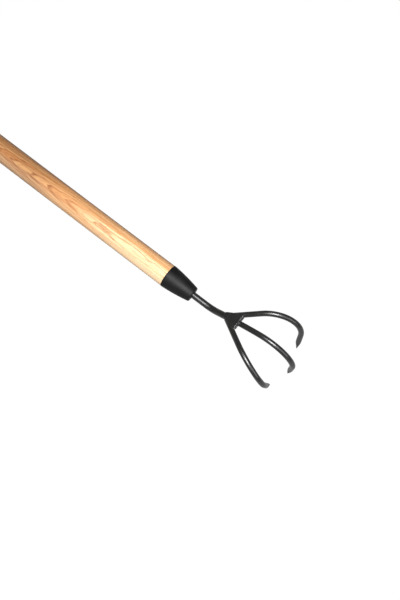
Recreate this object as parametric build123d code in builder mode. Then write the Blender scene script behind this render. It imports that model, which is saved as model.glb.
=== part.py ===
from build123d import *
import os

# Hand cultivator: a three-tined rod head on a turned ash handle, in millimetres.
# The tool lies on its ferrule and its three tine points, on a floor at z = 0.
# +X runs from the handle's free end to the tines and +Z is up. The tool is the same
# on both sides of the XZ plane, and the origin is under the middle of its length.

# Handle
handle_radius = 14.0
handle_end_rounding = 10.0
hang_hole_radius = 4.0
hang_hole_from_end = 25.0
hang_hole_rounding = 1.0
nose_rear_radius = 12.3
nose_front_radius = 7.4

# Ferrule: a moulded cap over the handle's nose
ferrule_mouth_x = 171.5
ferrule_length = 37.0
ferrule_rear_radius = 14.25
ferrule_middle_radius = 12.5
ferrule_front_radius = 9.2
ferrule_front_rounding = 1.0
ferrule_rear_band = 1.5
ferrule_rear_rounding = 0.4
ferrule_front_wall = 3.5

# Rods
shank_radius = 3.95
tine_radius = 3.2
tang_length = 80.0
tang_point_length = 8.0
tang_point_radius = 1.5

# Tine points: forged blades, a little wider than the rod, that thin to a blunt round end.
# Each row is a section: how far it is from the point's base, its half width across the
# hook's plane and its half thickness in that plane.
point_sections = (
    (4.0, 3.6, 2.95),
    (8.0, 3.85, 2.05),
    (11.0, 3.75, 1.3),
    (13.2, 3.3, 0.85),
    (14.2, 2.3, 0.6),
)

# Centre line of the shank and of the centre tine, from the ferrule's mouth onwards
neck_run = 18.7
neck_bend_radius = 29.1
neck_bend_angle = 38.2
back_radius = 291.0
shank_back_angle = 3.9
tine_back_angle = 8.4
centre_hook_radius = 34.6
centre_hook_angle = 112.3

# Side tines: they leave the shank at the fork, splayed, rising and leaning outwards
fork_distance = 49.6
side_yaw = 35.1
side_pitch = 29.9
side_lean = 20.8
side_buried_run = 5.0
side_run = 43.7
side_hook_radius = 33.1
side_hook_angle = 117.0

# Gusset plate: a fan-shaped plate on top of the rods, where they fork
plate_thickness = 2.5
plate_rear_distance = 53.9
plate_front_distance = 72.5
plate_rear_half_width = 2.8
plate_rear_corner_radius = 2.4
plate_front_half_width = 10.8
plate_front_corner_radius = 0.8
plate_edge_rounding = 0.5

# Weld beads
edge_bead_width = 0.8
edge_bead_depth = 2.5
edge_bead_rounding = 0.7
front_bead_radius = 1.6
front_bead_half_length = 8.2
front_bead_back = 1.2
front_bead_drop = 1.2
under_bead_radius = 1.8
under_bead_start = 6.0
under_bead_start_drop = 3.0
under_bead_end = 15.0
under_bead_end_drop = 1.0

os.makedirs("parts", exist_ok=True)

axis_height = ferrule_rear_radius
shoulder_x = ferrule_mouth_x - ferrule_length
nose_x = ferrule_mouth_x - ferrule_front_wall

# Planes to draw half profiles and centre lines in: x along the tool, y upwards
tool_plane = Plane(origin=(0, 0, axis_height), x_dir=(1, 0, 0), z_dir=(0, -1, 0))
mouth_plane = Plane(origin=(ferrule_mouth_x, 0, axis_height), x_dir=(1, 0, 0), z_dir=(0, -1, 0))
tool_axis = Axis((0, 0, axis_height), (1, 0, 0))


def across(path):
    """Plane square to a path at its start."""
    return Plane(origin=path @ 0, z_dir=path % 0)


def base_of_point(bend, hook_normal):
    """Where the run after a bend turns into the tine's point, whose end reaches the floor."""
    point_length, end_half_width, end_half_thickness = point_sections[-1]
    thickness_way = hook_normal.cross(bend % 1)
    sag_across = end_half_width * hook_normal.Z
    sag_through = end_half_thickness * thickness_way.Z
    end_height = (sag_across**2 + sag_through**2) ** 0.5
    run_to_end = ((bend @ 1).Z - end_height) / -(bend % 1).Z
    return (bend @ 1) + (bend % 1) * (run_to_end - point_length)


def tine_point(run, hook_normal):
    """Forged blade at the end of a run, thinned in the hook's plane."""
    base = Plane(origin=run @ 1, x_dir=hook_normal, z_dir=run % 1)
    with BuildPart() as point:
        with BuildSketch(base):
            Circle(tine_radius)
        for distance, half_width, half_thickness in point_sections:
            with BuildSketch(base.offset(distance)):
                Ellipse(half_width, half_thickness)
        loft()
    return point.part


def above(path, distance, radius):
    """Point on top of a rod in the plane of symmetry, at a distance along its path."""
    foot = path.position_at(distance, PositionMode.LENGTH)
    heading = path.tangent_at(distance, PositionMode.LENGTH)
    return foot + heading.rotate(Axis.Y, -90) * radius


# Centre lines. The centre tine goes on where the shank ends, in the plane of symmetry.
with BuildLine(mouth_plane) as shank_line:
    neck = Line((tang_point_length - tang_length - ferrule_front_wall, 0), (neck_run, 0))
    neck_bend = JernArc(neck @ 1, neck % 1, neck_bend_radius, neck_bend_angle)
    shank_back = JernArc(neck_bend @ 1, neck_bend % 1, back_radius, -shank_back_angle)
shank_path = shank_line.wire()
mouth_distance = ferrule_mouth_x - (neck @ 0).X

with BuildLine(mouth_plane) as centre_line:
    tine_back = JernArc(shank_back @ 1, shank_back % 1, back_radius, -tine_back_angle)
    centre_hook = JernArc(tine_back @ 1, tine_back % 1, centre_hook_radius, -centre_hook_angle)
    centre_drop = Line(centre_hook @ 1, base_of_point(centre_hook, Vector(0, 1, 0)))
centre_path = centre_line.wire()

# A side tine is bent in one plane, which is yawed, pitched and leant from the tool's.
fork = shank_path.position_at(mouth_distance + fork_distance, PositionMode.LENGTH)
fork_heading = shank_path.tangent_at(mouth_distance + fork_distance, PositionMode.LENGTH)
side_heading = Vector(1, 0, 0).rotate(Axis.Y, -side_pitch).rotate(Axis.Z, side_yaw)
unleant_normal = Vector(0, -1, 0).rotate(Axis.Z, side_yaw)
side_normal = unleant_normal.rotate(Axis((0, 0, 0), side_heading), -side_lean)

with BuildLine(Plane(origin=fork, x_dir=side_heading, z_dir=side_normal)) as side_line:
    side_rise = Line((side_buried_run, 0), (side_run, 0))
    side_hook = JernArc(side_rise @ 1, side_rise % 1, side_hook_radius, -side_hook_angle)
    side_drop = Line(side_hook @ 1, base_of_point(side_hook, side_normal))
side_path = side_line.wire()

# Shank: its pointed tang is pressed into the handle, and it ends under the plate.
with BuildPart() as shank:
    with BuildSketch(across(shank_path)):
        Circle(shank_radius)
    sweep(path=shank_path)
    with BuildSketch(across(shank_path)):
        Circle(shank_radius)
    with BuildSketch(across(shank_path).offset(-tang_point_length)):
        Circle(tang_point_radius)
    loft()

centre_point = tine_point(centre_drop, Vector(0, 1, 0))
with BuildPart() as centre_tine:
    with BuildSketch(across(centre_path)):
        Circle(tine_radius)
    sweep(path=centre_path)
    add(centre_point)

# The left tine's root is ground to lie against the shank and the centre tine.
side_point = tine_point(side_drop, side_normal)
with BuildPart() as left_tine:
    with BuildSketch(across(side_path)):
        Circle(tine_radius)
    sweep(path=side_path)
    add(side_point)
    add(shank.part, mode=Mode.SUBTRACT)
    add(centre_tine.part, mode=Mode.SUBTRACT)

with BuildPart() as right_tine:
    mirror(left_tine.part, about=Plane.XZ)

# Gusset plate, which touches the shank at its rear end and the centre tine at its front
plate_rear = above(shank_path, mouth_distance + plate_rear_distance, shank_radius)
front_distance = mouth_distance + plate_front_distance - shank_path.length
plate_front = above(centre_path, front_distance, tine_radius)
plate_heading = (plate_front - plate_rear).normalized()
plate_length = (plate_front - plate_rear).length
plate_plane = Plane(
    origin=plate_rear, x_dir=plate_heading, z_dir=plate_heading.cross(Vector(0, 1, 0))
)
plate_up = Axis(plate_rear, plate_plane.z_dir)

with BuildSketch() as fan:
    Polygon(
        (-plate_rear_half_width, plate_rear_half_width),
        (-plate_rear_half_width, -plate_rear_half_width),
        (plate_length, -plate_front_half_width),
        (plate_length, plate_front_half_width),
        align=None,
    )
    fillet(fan.vertices().group_by(Axis.X)[0], plate_rear_corner_radius)
    fillet(fan.vertices().group_by(Axis.X)[-1], plate_front_corner_radius)

with BuildPart() as gusset_plate:
    with BuildSketch(plate_plane):
        add(fan.sketch)
    extrude(amount=plate_thickness)
    fillet(gusset_plate.faces().sort_by(plate_up)[-1].edges(), plate_edge_rounding)
    for rod in (shank, centre_tine, left_tine, right_tine):
        add(rod.part, mode=Mode.SUBTRACT)

# Weld beads: one round the plate's sides and rear, two under its front edge between
# the rods, and two in the grooves under the fork
with BuildPart() as edge_bead:
    with BuildSketch(plate_plane.offset(-edge_bead_depth)):
        add(fan.sketch)
        offset(amount=edge_bead_width)
    extrude(amount=edge_bead_depth + edge_bead_width)
    fillet(edge_bead.faces().sort_by(plate_up)[-1].edges(), edge_bead_rounding)
    with BuildSketch(plate_plane.offset(-edge_bead_depth)):
        add(fan.sketch)
    extrude(amount=edge_bead_depth + plate_thickness, mode=Mode.SUBTRACT)
    front_face = Plane(
        origin=plate_front, x_dir=(0, 1, 0), z_dir=plate_heading
    ).offset(-plate_front_corner_radius)
    split(bisect_by=front_face, keep=Keep.BOTTOM)

bead_level = plate_plane.offset(-front_bead_drop)
with BuildLine(bead_level) as front_bead_line:
    front_bead_x = plate_length - front_bead_back
    Line((front_bead_x, -front_bead_half_length), (front_bead_x, front_bead_half_length))

groove_heading = (fork_heading + side_heading).normalized()
groove_start = fork + groove_heading * under_bead_start
groove_end = fork + groove_heading * under_bead_end
with BuildLine() as groove_line:
    Line(
        groove_start - plate_up.direction * under_bead_start_drop,
        groove_end - plate_up.direction * under_bead_end_drop,
    )

with BuildPart() as weld_beads:
    with BuildSketch(across(groove_line.line)):
        Circle(under_bead_radius)
    sweep(path=groove_line.line)
    mirror(about=Plane.XZ)
    with BuildSketch(across(front_bead_line.line)):
        Circle(front_bead_radius)
    sweep(path=front_bead_line.line)
    add(edge_bead.part)
    for joined in (shank, centre_tine, left_tine, right_tine, gusset_plate):
        add(joined.part, mode=Mode.SUBTRACT)

# Handle: it reaches as far behind the origin as the centre tine reaches in front.
free_end_x = -centre_tine.part.bounding_box().max.X
with BuildPart() as wooden_handle:
    with BuildSketch(tool_plane) as handle_half:
        with BuildLine():
            Polyline(
                (free_end_x, 0),
                (free_end_x, handle_radius),
                (shoulder_x, handle_radius),
                (shoulder_x, nose_rear_radius),
                (nose_x, nose_front_radius),
                (nose_x, 0),
                close=True,
            )
        make_face()
        end_corner = handle_half.vertices().group_by(Axis.X)[0].sort_by(Axis.Y)[-1]
        fillet(end_corner, handle_end_rounding)
    revolve(axis=tool_axis)
    with BuildSketch(Plane(origin=(nose_x, 0, axis_height), z_dir=(-1, 0, 0))):
        Circle(shank_radius)
    extrude(amount=tang_length, mode=Mode.SUBTRACT)
    with Locations((free_end_x + hang_hole_from_end, 0, axis_height)):
        Hole(hang_hole_radius)
    hole_rims = wooden_handle.edges(Select.LAST).filter_by(GeomType.LINE, reverse=True)
    fillet(hole_rims, hang_hole_rounding)

# Ferrule: its hollow fits the handle's nose, and its mouth fits the shank.
with BuildPart() as ferrule:
    with BuildSketch(tool_plane) as ferrule_half:
        with BuildLine():
            ThreePointArc(
                (shoulder_x + ferrule_rear_band, ferrule_rear_radius),
                (shoulder_x + ferrule_length / 2, ferrule_middle_radius),
                (ferrule_mouth_x, ferrule_front_radius),
            )
            Polyline(
                (ferrule_mouth_x, ferrule_front_radius),
                (ferrule_mouth_x, shank_radius),
                (nose_x, shank_radius),
                (nose_x, nose_front_radius),
                (shoulder_x, nose_rear_radius),
                (shoulder_x, ferrule_rear_radius),
                (shoulder_x + ferrule_rear_band, ferrule_rear_radius),
            )
        make_face()
        front_corner = ferrule_half.vertices().group_by(Axis.X)[-1].sort_by(Axis.Y)[-1]
        fillet(front_corner, ferrule_front_rounding)
        rear_corner = ferrule_half.vertices().group_by(Axis.X)[0].sort_by(Axis.Y)[-1]
        fillet(rear_corner, ferrule_rear_rounding)
    revolve(axis=tool_axis)

pieces = {
    "wooden_handle": wooden_handle,
    "ferrule": ferrule,
    "shank": shank,
    "centre_tine": centre_tine,
    "left_tine": left_tine,
    "right_tine": right_tine,
    "gusset_plate": gusset_plate,
    "weld_beads": weld_beads,
}
for name, piece in pieces.items():
    piece.part.label = name
    export_step(piece.part, f"parts/{name}.step")
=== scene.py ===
"""Looks of the hand cultivator: materials, welds, floor, light and camera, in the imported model's frame."""

import math

import bmesh
import bpy
from mathutils import Matrix, Vector, noise


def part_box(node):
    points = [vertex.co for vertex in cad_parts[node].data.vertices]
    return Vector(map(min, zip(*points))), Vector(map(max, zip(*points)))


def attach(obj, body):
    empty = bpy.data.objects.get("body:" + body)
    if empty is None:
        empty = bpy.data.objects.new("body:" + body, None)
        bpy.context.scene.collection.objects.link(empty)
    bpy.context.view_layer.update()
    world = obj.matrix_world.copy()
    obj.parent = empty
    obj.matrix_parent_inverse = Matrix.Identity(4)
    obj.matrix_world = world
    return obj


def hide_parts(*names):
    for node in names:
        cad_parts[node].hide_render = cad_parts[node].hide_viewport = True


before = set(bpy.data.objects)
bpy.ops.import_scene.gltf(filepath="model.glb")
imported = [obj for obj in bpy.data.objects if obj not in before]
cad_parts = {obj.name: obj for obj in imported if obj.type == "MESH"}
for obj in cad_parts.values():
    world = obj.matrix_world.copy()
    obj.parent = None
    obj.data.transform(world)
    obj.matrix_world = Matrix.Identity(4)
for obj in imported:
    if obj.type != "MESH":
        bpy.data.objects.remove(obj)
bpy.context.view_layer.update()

MM = 0.001

# ------------------------------------------------------------------------------------------------
# Where the parts are
# ------------------------------------------------------------------------------------------------

handle_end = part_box("wooden_handle")[0].x
ferrule_low, ferrule_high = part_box("ferrule")
handle_axis_height = (ferrule_low.z + ferrule_high.z) / 2
ferrule_rear = ferrule_low.x
ferrule_mouth = ferrule_high.x
head = Vector((ferrule_mouth, 0.0, handle_axis_height))
tines_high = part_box("centre_tine")[1]
tines = Vector((tines_high.x - 50 * MM, 0.0, tines_high.z - 20 * MM))


# ------------------------------------------------------------------------------------------------
# Short calls that build a material's nodes
# ------------------------------------------------------------------------------------------------


class Shader:
    """A node material. Each call adds one node and returns its output."""

    def __init__(self, name):
        self.material = bpy.data.materials.new(name)
        self.material.use_nodes = True
        self.tree = self.material.node_tree
        self.tree.nodes.clear()
        self.surface = self.node("ShaderNodeBsdfPrincipled")
        output = self.node("ShaderNodeOutputMaterial")
        self.tree.links.new(self.surface.outputs["BSDF"], output.inputs["Surface"])

    def node(self, kind, **settings):
        made = self.tree.nodes.new(kind)
        for name, value in settings.items():
            setattr(made, name, value)
        return made

    def feed(self, socket, value):
        if isinstance(value, bpy.types.NodeSocket):
            self.tree.links.new(value, socket)
        else:
            socket.default_value = value

    def set(self, **values):
        """Sockets of the surface shader, by name with _ for a space."""
        for name, value in values.items():
            self.feed(self.surface.inputs[name.replace("_", " ")], value)

    def position(self):
        """The point's place in the frame, in millimetres, with the handle's axis at height 0."""
        place = self.node("ShaderNodeTexCoord").outputs["Object"]
        return self.mapping(place, offset=(0, 0, -handle_axis_height / MM), scale=(1 / MM,) * 3)

    def mapping(self, vector, offset=(0, 0, 0), scale=(1, 1, 1), turn=(0, 0, 0)):
        made = self.node("ShaderNodeMapping")
        self.feed(made.inputs["Vector"], vector)
        made.inputs["Location"].default_value = offset
        made.inputs["Scale"].default_value = scale
        made.inputs["Rotation"].default_value = turn
        return made.outputs["Vector"]

    def noise(self, vector, scale=1.0, detail=2.0, roughness=0.5):
        made = self.node("ShaderNodeTexNoise")
        self.feed(made.inputs["Vector"], vector)
        made.inputs["Scale"].default_value = scale
        made.inputs["Detail"].default_value = detail
        made.inputs["Roughness"].default_value = roughness
        return made.outputs["Fac"]

    def math(self, operation, a, b=0.0, c=0.0):
        made = self.node("ShaderNodeMath", operation=operation)
        for socket, value in zip(made.inputs, (a, b, c)):
            self.feed(socket, value)
        return made.outputs["Value"]

    def spread(self, value, low, high, to_low=0.0, to_high=1.0, smooth=False):
        """value from low..high to to_low..to_high, clamped."""
        made = self.node("ShaderNodeMapRange", clamp=True)
        if smooth:
            made.interpolation_type = "SMOOTHSTEP"
        limits = {"From Min": low, "From Max": high, "To Min": to_low, "To Max": to_high}
        for name, number in limits.items():
            made.inputs[name].default_value = number
        self.feed(made.inputs["Value"], value)
        return made.outputs["Result"]

    def mix(self, share, a, b, blend="MIX"):
        """Colours a and b, mixed by share."""
        made = self.node("ShaderNodeMix", data_type="RGBA", blend_type=blend)
        for socket, value in zip((made.inputs[0], made.inputs[6], made.inputs[7]), (share, a, b)):
            if isinstance(value, tuple) and len(value) == 3:
                value = (*value, 1.0)
            self.feed(socket, value)
        return made.outputs[2]

    def swing(self, value, reach):
        """A noise from 0 to 1 as a shift of up to reach, either way."""
        return self.math("MULTIPLY_ADD", value, 2 * reach, -reach)

    def axes(self, vector):
        made = self.node("ShaderNodeSeparateXYZ")
        self.feed(made.inputs["Vector"], vector)
        return made.outputs["X"], made.outputs["Y"], made.outputs["Z"]

    def bump(self, height, distance, strength=1.0):
        """height is in units of distance, in metres."""
        made = self.node("ShaderNodeBump")
        self.feed(made.inputs["Height"], height)
        made.inputs["Distance"].default_value = distance
        made.inputs["Strength"].default_value = strength
        return made.outputs["Normal"]


# ------------------------------------------------------------------------------------------------
# Materials
# ------------------------------------------------------------------------------------------------


def ash_wood():
    """Lacquered ash: growth rings that the round handle cuts into long tongues, with open pores.

    Lengths are in millimetres. The numbers between 0 and 1 are shares and colours.
    """
    ring_width = 1.2
    first_ring = 0.9
    heart_depth = 62.0
    heart_side = 22.0
    crest_place = 82.0
    crest_reach = 145.0
    crest_drop = 9.3
    sapwood = 78.3
    flush_place = 0.56

    s = Shader("ash_wood")
    place = s.position()
    x, y, z = s.axes(place)

    # The tree's heart lies below the handle and to its left. The rings crest near the ferrule and
    # sink away from there, so the surface cuts them into one long spindle and, behind it, nested
    # tongues. Three noises bend the rings: a slow one, a finer one and one that frays the tips.
    along = s.math("DIVIDE", s.math("SUBTRACT", x, crest_place), crest_reach)
    sink = s.math("SQRT", s.math("MULTIPLY_ADD", along, along, 1.0))
    sink = s.math("MULTIPLY_ADD", sink, -crest_drop, crest_drop)
    wander = s.noise(s.mapping(place, scale=(0.012, 0.03, 0.03)), detail=1.0)
    wander = s.swing(wander, 0.9)
    ripple = s.noise(s.mapping(place, scale=(0.05, 0.16, 0.16)), detail=2.0)
    ripple = s.swing(ripple, 0.55)
    flame = s.noise(s.mapping(place, scale=(0.035, 0.45, 0.45)), detail=2.0)
    flame = s.swing(flame, 0.4)
    depth = s.math("ADD", s.math("ADD", z, heart_depth), sink)
    side = s.math("SUBTRACT", y, heart_side)
    across = s.math("ADD", s.math("MULTIPLY", depth, depth), s.math("MULTIPLY", side, side))
    across = s.math("SQRT", across)
    across = s.math("ADD", across, s.math("ADD", wander, s.math("ADD", ripple, flame)))
    rings = s.math("MULTIPLY_ADD", across, 1 / ring_width, first_ring)
    year = s.math("FRACT", rings)

    # Each year starts with a dark porous edge and fades to pale dense late wood. A fainter line
    # in its middle marks a second flush of growth.
    early = s.spread(year, 0.0, 0.3, 1.0, 0.0, smooth=True)
    late = s.spread(year, 0.9, 1.0, 0.0, 1.0, smooth=True)
    flush = s.math("ABSOLUTE", s.math("SUBTRACT", year, flush_place))
    flush = s.spread(flush, 0.0, 0.1, 0.35, 0.0, smooth=True)
    edge = s.math("MAXIMUM", s.math("MAXIMUM", early, late), flush)

    fibre = s.noise(s.mapping(place, scale=(0.016, 0.8, 0.8)), detail=4.0, roughness=0.65)
    streak = s.noise(s.mapping(place, scale=(0.008, 0.35, 0.35)), detail=2.0)

    # The wood turns from honey near the ferrule to browner wood further back: partly the wood's own
    # tone and partly painted shade, as the light falls off towards the rear. The youngest rings are yellow
    # sapwood.
    tone_and_painted_falloff = s.math("MULTIPLY_ADD", streak, 60.0, x)
    tone_and_painted_falloff = s.spread(tone_and_painted_falloff, -55.0, 110.0, 1.0, 0.0, smooth=True)
    yellow = s.spread(across, sapwood, sapwood + 0.9, smooth=True)
    honey = s.mix(yellow, (0.87, 0.53, 0.26), (0.80, 0.66, 0.37))
    pale = s.mix(tone_and_painted_falloff, honey, (0.78, 0.39, 0.145))
    dark = s.mix(tone_and_painted_falloff, (0.55, 0.20, 0.055), (0.30, 0.072, 0.014))
    # Some years grew warmer wood than others.
    warmth = s.node("ShaderNodeTexWhiteNoise", noise_dimensions="1D")
    s.feed(warmth.inputs["W"], s.math("FLOOR", rings))
    warm = s.spread(warmth.outputs["Value"], 0.3, 1.0, 0.0, 0.7)
    warm_pale = s.mix(tone_and_painted_falloff, (0.74, 0.41, 0.17), (0.58, 0.21, 0.055))
    pale = s.mix(warm, pale, warm_pale)
    contrast = s.math("MULTIPLY", edge, s.spread(fibre, 0.3, 0.7, 0.6, 1.0))
    colour = s.mix(contrast, pale, dark)
    colour = s.mix(s.spread(streak, 0.5, 0.66, 0.0, 0.45), colour, dark)
    colour = s.mix(s.spread(fibre, 0.5, 0.7, 0.0, 0.35), colour, dark)

    # Painted light and shade: the right side is painted paler, as if lit, most of all near the ferrule,
    # and the left side is painted darker, as if in shade. The rear is painted darker and duller, as painted
    # shade.
    painted_light_right = s.spread(y, -3.0, -14.0, smooth=True)
    painted_light_right = s.math("MULTIPLY", painted_light_right, s.spread(x, 20.0, 100.0, 0.24, 0.7))
    painted_shade_left = s.spread(y, 5.0, 14.0, 0.0, 0.36, smooth=True)
    colour = s.mix(painted_light_right, colour, (0.90, 0.69, 0.45))
    colour = s.mix(painted_shade_left, colour, (0.42, 0.21, 0.12))
    # Painted shade: the colour is darkened and greyed towards the rear.
    painted_rear_shade = s.math("MULTIPLY_ADD", streak, 40.0, x)
    painted_rear_shade = s.spread(painted_rear_shade, -50.0, 5.0, 1.0, 0.0, smooth=True)
    colour = s.mix(painted_rear_shade, colour, (0.80, 0.84, 0.92), blend="MULTIPLY")

    # Pores: short dark dashes along the grain, thick in the early wood and few elsewhere.
    pores = s.noise(s.mapping(place, scale=(0.22, 4.5, 4.5)), detail=1.0)
    pore_limit = s.spread(edge, 0.0, 1.0, 0.74, 0.56)
    pores = s.spread(s.math("SUBTRACT", pores, pore_limit), 0.0, 0.05)
    colour = s.mix(s.math("MULTIPLY", pores, 0.5), colour, (0.30, 0.12, 0.035))

    grime = s.noise(s.mapping(place, scale=(0.05, 0.08, 0.08)), detail=4.0)
    dullness = s.math("ADD", grime, s.math("MULTIPLY", edge, 0.2))
    hollows = s.math("ADD", pores, s.math("MULTIPLY", edge, 0.4))
    relief = s.math("SUBTRACT", s.math("MULTIPLY", fibre, 0.35), hollows)
    s.set(Base_Color=colour, Roughness=s.spread(dullness, 0.3, 0.9, 0.34, 0.5))
    s.set(Specular_IOR_Level=0.5, Coat_Weight=0.6, Coat_Roughness=0.3, Coat_IOR=1.5)
    s.set(Normal=s.bump(relief, 0.04 * MM), Coat_Normal=s.bump(relief, 0.015 * MM))
    return s.material


def black_plastic():
    """A satin black moulding with a fine spark-eroded skin and faint scuffs."""
    s = Shader("black_plastic")
    place = s.position()
    skin = s.noise(place, scale=5.5, detail=2.0)
    patch = s.noise(place, scale=0.09, detail=3.0)
    scuffs = s.mapping(place, scale=(0.25, 2.8, 2.8), turn=(0.2, 0.15, 0.4))
    scuffs = s.spread(s.noise(scuffs, detail=2.0), 0.68, 0.76)
    colour = s.mix(s.spread(patch, 0.3, 0.7), (0.005, 0.0051, 0.0054), (0.008, 0.008, 0.0079))
    colour = s.mix(s.math("MULTIPLY", scuffs, 0.35), colour, (0.045, 0.044, 0.043))
    roughness = s.spread(patch, 0.3, 0.7, 0.48, 0.56)
    roughness = s.math("ADD", roughness, s.math("MULTIPLY", scuffs, 0.1))
    s.set(Base_Color=colour, Roughness=roughness, Specular_IOR_Level=0.27)
    s.set(Normal=s.bump(skin, 0.02 * MM, 0.6))
    return s.material


def dark_steel(name="dark_steel", roll_marks=1.0):
    """Drawn rod under dark semi-gloss lacquer, with uneven mill scale beneath."""
    s = Shader(name)
    place = s.position()
    scale_marks = s.noise(place, scale=0.55, detail=4.0, roughness=0.55)
    patch = s.noise(place, scale=0.1, detail=3.0)
    speck = s.noise(place, scale=3.2, detail=2.0)
    colour = s.mix(s.spread(patch, 0.3, 0.7), (0.011, 0.0108, 0.0105), (0.018, 0.0175, 0.017))
    colour = s.mix(s.spread(speck, 0.62, 0.72, 0.0, 0.35), colour, (0.075, 0.073, 0.07))
    s.set(Base_Color=colour)
    s.set(Roughness=s.spread(scale_marks, 0.3, 0.7, 0.2, 0.32))
    s.set(Metallic=0.0, Specular_IOR_Level=0.9, Coat_Weight=0.2, Coat_Roughness=0.12)
    height = s.math("MULTIPLY_ADD", speck, 0.15, scale_marks)
    s.set(Normal=s.bump(height, 0.05 * MM * roll_marks))
    return s.material


def plain_floor():
    """Pale floor, bright as a lit studio sweep."""
    s = Shader("studio_floor")
    s.set(Base_Color=(0.04, 0.04, 0.04, 1.0), Roughness=0.9, Specular_IOR_Level=0.0)
    s.set(Emission_Color=(1.0, 1.0, 1.0, 1.0), Emission_Strength=0.97)
    return s.material


def paint(node, material):
    """Gives a CAD node its finish, in every material slot that it has."""
    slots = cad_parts[node].data.materials
    if not slots:
        slots.append(material)
    for index in range(len(slots)):
        slots[index] = material


wood = ash_wood()
plastic = black_plastic()
steel = dark_steel()
weld = dark_steel("weld_steel", roll_marks=1.6)

paint("wooden_handle", wood)
paint("ferrule", plastic)
for rod in ("shank", "centre_tine", "left_tine", "right_tine", "gusset_plate"):
    paint(rod, steel)
paint("weld_beads", weld)


# ------------------------------------------------------------------------------------------------
# Welds
# ------------------------------------------------------------------------------------------------


def join_rings(mesh, rings, inwards=False):
    """Quads between each ring of corners and the next."""
    for lower, upper in zip(rings, rings[1:]):
        for side in range(len(lower)):
            after = (side + 1) % len(lower)
            corners = (lower[side], lower[after], upper[after], upper[side])
            mesh.faces.new((corners[0], *reversed(corners[1:])) if inwards else corners)


def bead(mesh, start, end, radius, ripple, ripple_length):
    """A rippled weld bead on a straight line, tapered at both ends."""
    sides = 16
    rings_per_ripple = 8
    end_sharpness = 6
    least_radius = 0.02 * MM
    heading = (end - start).normalized()
    out = heading.orthogonal().normalized()
    up = heading.cross(out)
    length = (end - start).length
    steps = round(length / (ripple_length / rings_per_ripple))
    turns = [math.tau * side / sides for side in range(sides)]
    spokes = [out * math.cos(a) + up * math.sin(a) for a in turns]
    rings = []
    for step in range(steps + 1):
        share = step / steps
        taper = math.sqrt(max(0.0, 1.0 - abs(2 * share - 1) ** end_sharpness))
        wobble = noise.noise(Vector((share * 9.0, 0.5, 0.5)))
        wave = math.sin(math.pi * (share * length + 0.4 * MM * wobble) / ripple_length)
        size = radius * taper * (1.0 + 0.15 * wobble) + least_radius
        size += ripple * taper * abs(wave)
        centre = start.lerp(end, share) + up * (0.3 * MM * wobble * taper)
        rings.append([mesh.verts.new(centre + spoke * size) for spoke in spokes])
    mesh.faces.new(reversed(rings[0]))
    mesh.faces.new(rings[-1])
    join_rings(mesh, rings)


def rippled_welds():
    """The CAD beads with a molten skin, and a rippled run along the plate's upper front edge."""
    body = bpy.data.objects.new("weld_body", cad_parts["weld_beads"].data.copy())
    bpy.context.scene.collection.objects.link(body)
    remesh = body.modifiers.new("remesh", "REMESH")
    remesh.mode = "VOXEL"
    remesh.voxel_size = 0.28 * MM
    evaluated = body.evaluated_get(bpy.context.evaluated_depsgraph_get())
    mesh = bmesh.new()
    mesh.from_mesh(evaluated.to_mesh())
    bpy.data.objects.remove(body)
    mesh.normal_update()
    shifts = []
    for vertex in mesh.verts:
        coarse = noise.noise(vertex.co / (1.6 * MM))
        fine = noise.noise(vertex.co / (0.6 * MM) + Vector((7.0, 3.0, 5.0)))
        shifts.append(vertex.normal * (0.16 * coarse + 0.05 * fine) * MM)
    for vertex, shift in zip(mesh.verts, shifts):
        vertex.co += shift

    plate_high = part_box("gusset_plate")[1]
    edge_x = plate_high.x - 1.5 * MM
    edge_z = plate_high.z - 0.35 * MM
    reach = plate_high.y - 1.2 * MM
    gap = 1.5 * MM
    for first, last in ((-reach, -gap), (gap, reach)):
        start = Vector((edge_x, first, edge_z))
        end = Vector((edge_x, last, edge_z))
        bead(mesh, start, end, radius=0.85 * MM, ripple=0.12 * MM, ripple_length=1.3 * MM)

    data = bpy.data.meshes.new("weld_ripples")
    mesh.to_mesh(data)
    mesh.free()
    data.shade_smooth()
    data.materials.clear()
    data.materials.append(weld)
    ripples = bpy.data.objects.new("weld_ripples", data)
    bpy.context.scene.collection.objects.link(ripples)
    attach(ripples, "root")
    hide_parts("weld_beads")


rippled_welds()


# ------------------------------------------------------------------------------------------------
# Floor, light and camera
# ------------------------------------------------------------------------------------------------


def studio_sweep():
    """A round pale floor whose rim curves up into a wall all the way round."""
    floor_radius = 2.2
    bend_radius = 1.2
    wall_height = 2.5
    sides = 96
    floor_steps = 4
    bend_steps = 12
    profile = [(floor_radius * step / floor_steps, 0.0) for step in range(1, floor_steps + 1)]
    for step in range(1, bend_steps + 1):
        angle = math.radians(90) * step / bend_steps
        out = floor_radius + bend_radius * math.sin(angle)
        profile.append((out, bend_radius * (1 - math.cos(angle))))
    profile.append((floor_radius + bend_radius, wall_height))
    turns = [math.tau * side / sides for side in range(sides)]
    mesh = bmesh.new()
    rings = []
    for radius, height in profile:
        corners = [(radius * math.cos(a), radius * math.sin(a), height) for a in turns]
        rings.append([mesh.verts.new(corner) for corner in corners])
    mesh.faces.new(rings[0])
    join_rings(mesh, rings, inwards=True)
    data = bpy.data.meshes.new("studio_sweep")
    mesh.to_mesh(data)
    mesh.free()
    data.shade_smooth()
    sweep = bpy.data.objects.new("studio_sweep", data)
    bpy.context.scene.collection.objects.link(sweep)
    data.materials.append(plain_floor())
    # The tool is lit on its own: the floor glows for the camera but sends no light to the tool.
    sweep.visible_diffuse = False
    sweep.visible_glossy = False


def area_light(name, place, aim, width, height, power):
    data = bpy.data.lights.new(name, "AREA")
    data.shape = "RECTANGLE"
    data.size = width
    data.size_y = height
    data.energy = power
    lamp = bpy.data.objects.new(name, data)
    lamp.location = place
    lamp.rotation_mode = "QUATERNION"
    lamp.rotation_quaternion = (Vector(aim) - Vector(place)).to_track_quat("-Z", "Y")
    lamp.visible_camera = False
    bpy.context.scene.collection.objects.link(lamp)
    return lamp


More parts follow.
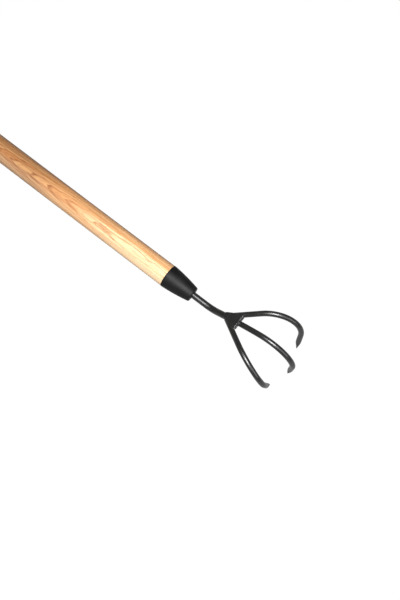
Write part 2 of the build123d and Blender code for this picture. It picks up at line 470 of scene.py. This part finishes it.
def floor_bounce(name, rear, front, power_per_area):
    """Light that the pale floor sends back up, over one stretch of the tool's length."""
    width = 0.45
    middle = (rear + front) / 2
    power = power_per_area * (front - rear) * width  # watts
    place = Vector((middle, 0.0, 0.5 * MM))
    area_light(name, place, place + Vector((0.0, 0.0, 1.0)), front - rear, width, power)


def studio_world(strength):
    world = bpy.data.worlds.new("studio_world")
    world.use_nodes = True
    background = world.node_tree.nodes["Background"]
    background.inputs["Color"].default_value = (1.0, 1.0, 1.0, 1.0)
    background.inputs["Strength"].default_value = strength
    bpy.context.scene.world = world


def photo_camera():
    """Looks steeply down on the ferrule's mouth, from behind and to the right of the tool."""
    aim = Vector((ferrule_mouth + 10.1 * MM, 0.4 * MM, handle_axis_height - 1.05 * MM))
    elevation = math.radians(75.142)
    heading = math.radians(116.455)
    roll = math.radians(11.507)
    distance = 0.7
    lens = 36.33
    level = Vector((math.cos(heading), math.sin(heading), 0)) * math.cos(elevation)
    forward = level - Vector((0, 0, math.sin(elevation)))
    data = bpy.data.cameras.new("camera")
    data.lens = lens
    data.sensor_width = 36.0
    camera = bpy.data.objects.new("camera", data)
    turn = forward.to_track_quat("-Z", "Y").to_matrix() @ Matrix.Rotation(roll, 3, "Z")
    camera.matrix_world = Matrix.Translation(aim - forward * distance) @ turn.to_4x4()
    bpy.context.scene.collection.objects.link(camera)
    bpy.context.scene.camera = camera


studio_sweep()
area_light("key_softbox", tines + Vector((0.015, -0.12, 0.59)), tines, 0.25, 0.25, 3.5)
area_light("wide_overhead", tines + Vector((0.02, -0.17, 0.80)), tines, 0.9, 0.9, 6.0)
fill = area_light("wide_fill", (0.1, -1.2, 0.6), head, 1.6, 1.2, 8.0)
fill.visible_glossy = False
area_light("side_softbox", (1.25, 0.0, 0.75), head, 0.9, 0.9, 4.0)
floor_bounce("head_bounce", ferrule_rear, ferrule_rear + 0.45, 1.2)
floor_bounce("handle_bounce", handle_end - 0.05, ferrule_rear, 0.4)
studio_world(0.08)
photo_camera()
bpy.context.scene.view_settings.view_transform = "Standard"
bpy.context.scene.view_settings.look = "None"
